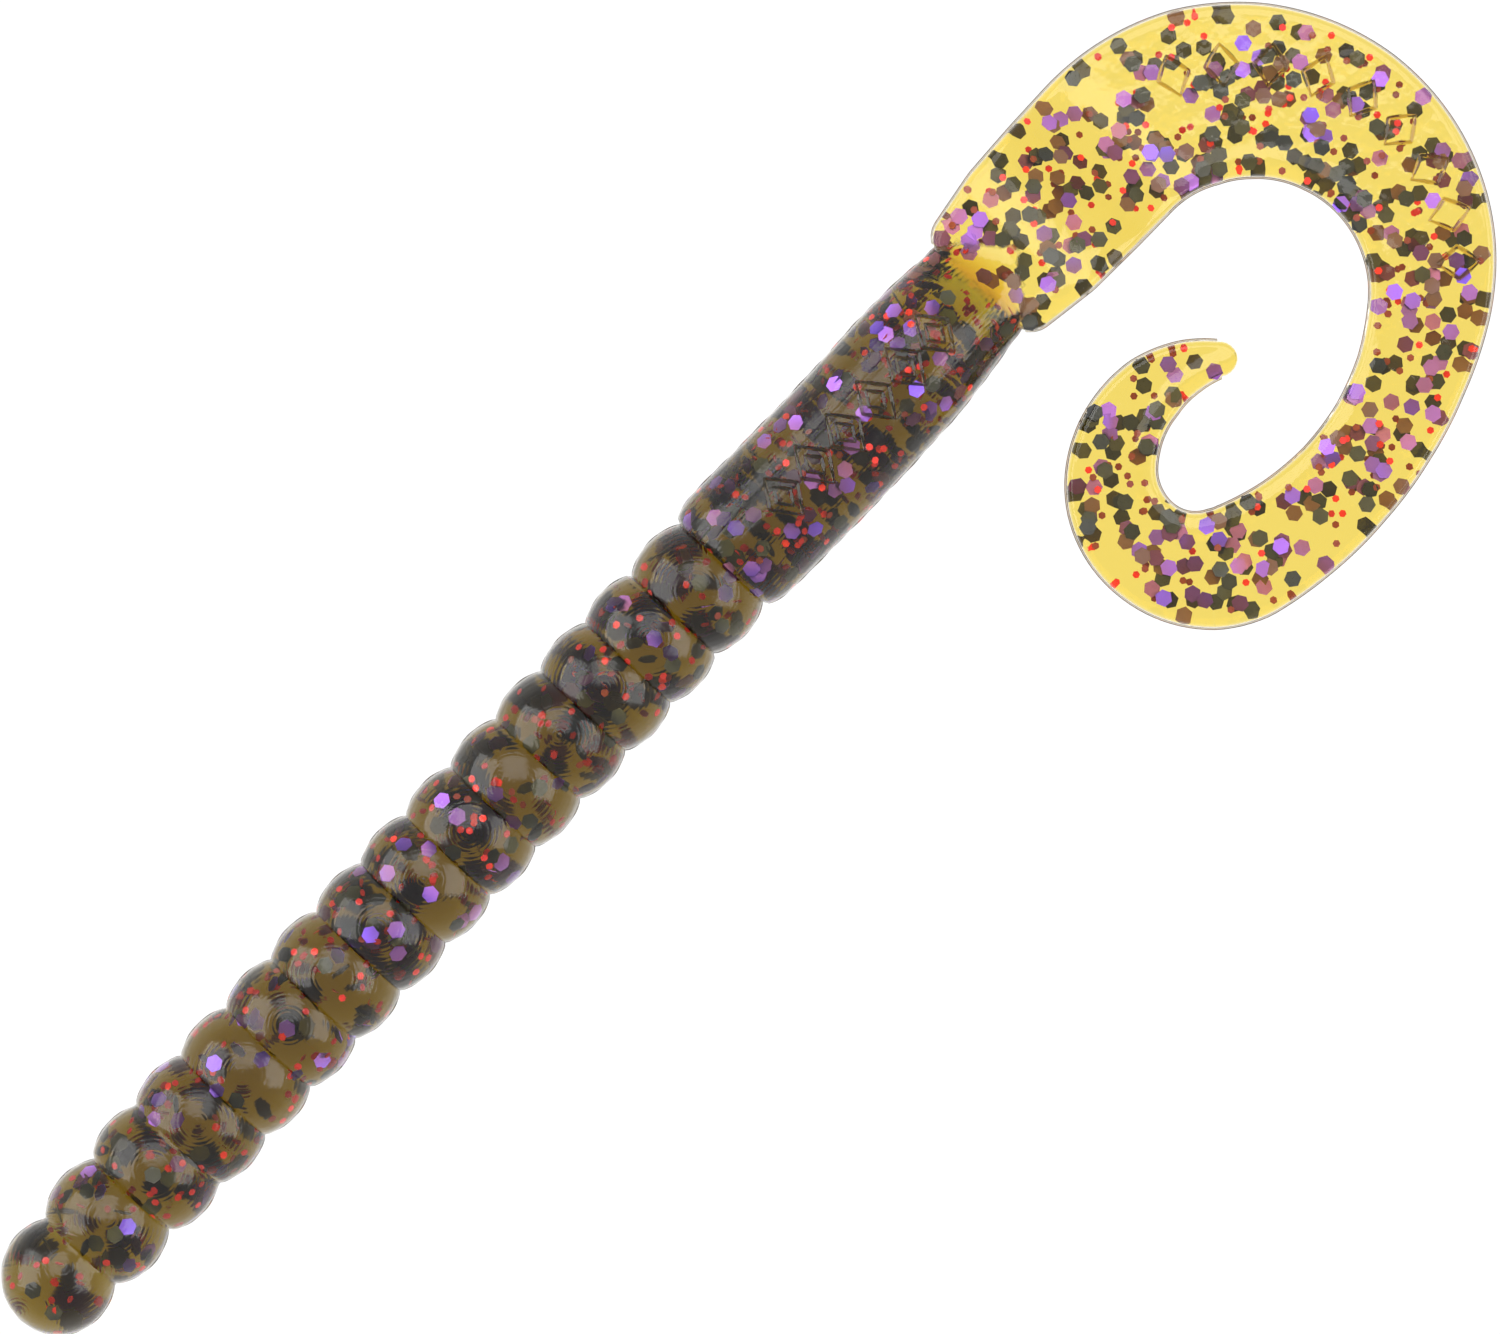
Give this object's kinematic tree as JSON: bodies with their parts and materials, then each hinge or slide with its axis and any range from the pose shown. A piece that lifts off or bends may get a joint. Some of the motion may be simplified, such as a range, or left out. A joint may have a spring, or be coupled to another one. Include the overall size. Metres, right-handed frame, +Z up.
{
  "type": "soft plastic worm",
  "caption": "Soft plastic fishing worm: ribbed body of round beads, smooth collar and flat curled ribbon tail, cast through with glitter.",
  "frame": {"origin": "The tip of the round nose, on the body's axis, where a hook point enters.", "axes": "+X runs along the body from the nose to the tail, +Z is up, away from the surface that the worm lies on, and the tail curls towards -Y."},
  "size_m": [0.1014, 0.0297, 0.0074],
  "materials": {
    "plastisol_body": "clear olive-amber soft plastic, wet gloss",
    "plastisol_tail": "clear yellow-amber soft plastic, wet gloss",
    "glitter_black": "gloss black polyester film",
    "glitter_purple": "metallised purple polyester film",
    "glitter_red": "metallised red polyester film"
  },
  "bodies": {
    "bead_01": {"bead_01": "plastisol_body", "black_flakes_bead_01": "glitter_black"},
    "bead_02": {"bead_02": "plastisol_body", "black_flakes_bead_02": "glitter_black"},
    "bead_03": {"bead_03": "plastisol_body", "black_flakes_bead_03": "glitter_black"},
    "bead_04": {"bead_04": "plastisol_body", "black_flakes_bead_04": "glitter_black"},
    "bead_05": {"bead_05": "plastisol_body", "black_flakes_bead_05": "glitter_black"},
    "bead_06": {"bead_06": "plastisol_body", "black_flakes_bead_06": "glitter_black"},
    "bead_07": {"bead_07": "plastisol_body", "black_flakes_bead_07": "glitter_black"},
    "bead_08": {"bead_08": "plastisol_body", "black_flakes_bead_08": "glitter_black"},
    "bead_09": {"bead_09": "plastisol_body", "black_flakes_bead_09": "glitter_black"},
    "bead_10": {"bead_10": "plastisol_body", "black_flakes_bead_10": "glitter_black"},
    "bead_11": {"bead_11": "plastisol_body", "black_flakes_bead_11": "glitter_black"},
    "bead_12": {"bead_12": "plastisol_body", "black_flakes_bead_12": "glitter_black"},
    "bead_13": {"bead_13": "plastisol_body", "black_flakes_bead_13": "glitter_black"},
    "bead_14": {"bead_14": "plastisol_body", "black_flakes_bead_14": "glitter_black"},
    "bead_15": {"bead_15": "plastisol_body", "black_flakes_bead_15": "glitter_black"},
    "collar": {"collar": "plastisol_body", "black_flakes_collar": "glitter_black", "purple_flakes_collar": "glitter_purple", "red_flakes_collar": "glitter_red"},
    "tail_01": {"tail_01": "plastisol_tail", "black_flakes_tail_01": "glitter_black"},
    "tail_02": {"tail_02": "plastisol_tail", "black_flakes_tail_02": "glitter_black", "purple_flakes_tail_02": "glitter_purple", "red_flakes_tail_02": "glitter_red"},
    "tail_03": {"tail_03": "plastisol_tail", "black_flakes_tail_03": "glitter_black", "purple_flakes_tail_03": "glitter_purple", "red_flakes_tail_03": "glitter_red"},
    "tail_04": {"tail_04": "plastisol_tail", "black_flakes_tail_04": "glitter_black", "purple_flakes_tail_04": "glitter_purple", "red_flakes_tail_04": "glitter_red"},
    "tail_05": {"tail_05": "plastisol_tail", "black_flakes_tail_05": "glitter_black"},
    "tail_06": {"tail_06": "plastisol_tail", "black_flakes_tail_06": "glitter_black"},
    "tail_07": {"tail_07": "plastisol_tail", "black_flakes_tail_07": "glitter_black"},
    "tail_08": {"tail_08": "plastisol_tail", "black_flakes_tail_08": "glitter_black"},
    "tail_09": {"tail_09": "plastisol_tail", "black_flakes_tail_09": "glitter_black"}
  },
  "joints": [
    {"name": "groove_15", "type": "hinge", "parent": "collar", "child": "bead_15", "pos_m": [0.056, 0, 0], "axis": [0, 0, 1], "range_deg": [-11.5, 11.5], "stiffness_Nm_per_rad": 0.003},
    {"name": "groove_14", "type": "hinge", "parent": "bead_15", "child": "bead_14", "pos_m": [0.05214, 0, 0], "axis": [0, 1, 0], "range_deg": [-11.5, 11.5], "stiffness_Nm_per_rad": 0.003},
    {"name": "groove_13", "type": "hinge", "parent": "bead_14", "child": "bead_13", "pos_m": [0.04857, 0, 0], "axis": [0, 0, 1], "range_deg": [-11.5, 11.5], "stiffness_Nm_per_rad": 0.003},
    {"name": "groove_12", "type": "hinge", "parent": "bead_13", "child": "bead_12", "pos_m": [0.045, 0, 0], "axis": [0, 1, 0], "range_deg": [-11.5, 11.5], "stiffness_Nm_per_rad": 0.003},
    {"name": "groove_11", "type": "hinge", "parent": "bead_12", "child": "bead_11", "pos_m": [0.04143, 0, 0], "axis": [0, 0, 1], "range_deg": [-11.5, 11.5], "stiffness_Nm_per_rad": 0.003},
    {"name": "groove_10", "type": "hinge", "parent": "bead_11", "child": "bead_10", "pos_m": [0.03786, 0, 0], "axis": [0, 1, 0], "range_deg": [-11.5, 11.5], "stiffness_Nm_per_rad": 0.003},
    {"name": "groove_09", "type": "hinge", "parent": "bead_10", "child": "bead_09", "pos_m": [0.03429, 0, 0], "axis": [0, 0, 1], "range_deg": [-11.5, 11.5], "stiffness_Nm_per_rad": 0.003},
    {"name": "groove_08", "type": "hinge", "parent": "bead_09", "child": "bead_08", "pos_m": [0.03072, 0, 0], "axis": [0, 1, 0], "range_deg": [-11.5, 11.5], "stiffness_Nm_per_rad": 0.003},
    {"name": "groove_07", "type": "hinge", "parent": "bead_08", "child": "bead_07", "pos_m": [0.02715, 0, 0], "axis": [0, 0, 1], "range_deg": [-11.5, 11.5], "stiffness_Nm_per_rad": 0.003},
    {"name": "groove_06", "type": "hinge", "parent": "bead_07", "child": "bead_06", "pos_m": [0.02358, 0, 0], "axis": [0, 1, 0], "range_deg": [-11.5, 11.5], "stiffness_Nm_per_rad": 0.003},
    {"name": "groove_05", "type": "hinge", "parent": "bead_06", "child": "bead_05", "pos_m": [0.02001, 0, 0], "axis": [0, 0, 1], "range_deg": [-11.5, 11.5], "stiffness_Nm_per_rad": 0.003},
    {"name": "groove_04", "type": "hinge", "parent": "bead_05", "child": "bead_04", "pos_m": [0.01644, 0, 0], "axis": [0, 1, 0], "range_deg": [-11.5, 11.5], "stiffness_Nm_per_rad": 0.003},
    {"name": "groove_03", "type": "hinge", "parent": "bead_04", "child": "bead_03", "pos_m": [0.01287, 0, 0], "axis": [0, 0, 1], "range_deg": [-11.5, 11.5], "stiffness_Nm_per_rad": 0.003},
    {"name": "groove_02", "type": "hinge", "parent": "bead_03", "child": "bead_02", "pos_m": [0.0093, 0, 0], "axis": [0, 1, 0], "range_deg": [-11.5, 11.5], "stiffness_Nm_per_rad": 0.003},
    {"name": "groove_01", "type": "hinge", "parent": "bead_02", "child": "bead_01", "pos_m": [0.005, 0, 0], "axis": [0, 0, 1], "range_deg": [-11.5, 11.5], "stiffness_Nm_per_rad": 0.003},
    {"name": "tail_flex_1", "type": "hinge", "parent": "collar", "child": "tail_01", "pos_m": [0.0802, 0, -0.00002], "axis": [0, -1, 0], "range_deg": [-15, 15], "stiffness_Nm_per_rad": 0.00003},
    {"name": "tail_flex_2", "type": "hinge", "parent": "tail_01", "child": "tail_02", "pos_m": [0.0845, 0, -0.00155], "axis": [0, -1, 0], "range_deg": [-15, 15], "stiffness_Nm_per_rad": 0.00003},
    {"name": "tail_flex_3", "type": "hinge", "parent": "tail_02", "child": "tail_03", "pos_m": [0.09226, -0.00153, -0.00311], "axis": [-0.5265, -0.8502, 0], "range_deg": [-15, 15], "stiffness_Nm_per_rad": 0.00003},
    {"name": "tail_flex_4", "type": "hinge", "parent": "tail_03", "child": "tail_04", "pos_m": [0.097, -0.00884, -0.00311], "axis": [-0.9912, -0.1327, 0], "range_deg": [-15, 15], "stiffness_Nm_per_rad": 0.00003},
    {"name": "tail_flex_5", "type": "hinge", "parent": "tail_04", "child": "tail_05", "pos_m": [0.09435, -0.01714, -0.00311], "axis": [-0.7316, 0.6817, 0], "range_deg": [-15, 15], "stiffness_Nm_per_rad": 0.00003},
    {"name": "tail_flex_6", "type": "hinge", "parent": "tail_05", "child": "tail_06", "pos_m": [0.08652, -0.02132, -0.00311], "axis": [-0.2369, 0.9715, 0], "range_deg": [-15, 15], "stiffness_Nm_per_rad": 0.00003},
    {"name": "tail_flex_7", "type": "hinge", "parent": "tail_06", "child": "tail_07", "pos_m": [0.0776, -0.02133, -0.00311], "axis": [0.2346, 0.9721, 0], "range_deg": [-15, 15], "stiffness_Nm_per_rad": 0.00003},
    {"name": "tail_flex_8", "type": "hinge", "parent": "tail_07", "child": "tail_08", "pos_m": [0.07239, -0.01617, -0.00311], "axis": [0.9996, 0.0292, 0], "range_deg": [-15, 15], "stiffness_Nm_per_rad": 0.00003},
    {"name": "tail_flex_9", "type": "hinge", "parent": "tail_08", "child": "tail_09", "pos_m": [0.07632, -0.01099, -0.00311], "axis": [0.3107, -0.9505, 0], "range_deg": [-15, 15], "stiffness_Nm_per_rad": 0.00003}
  ]
}
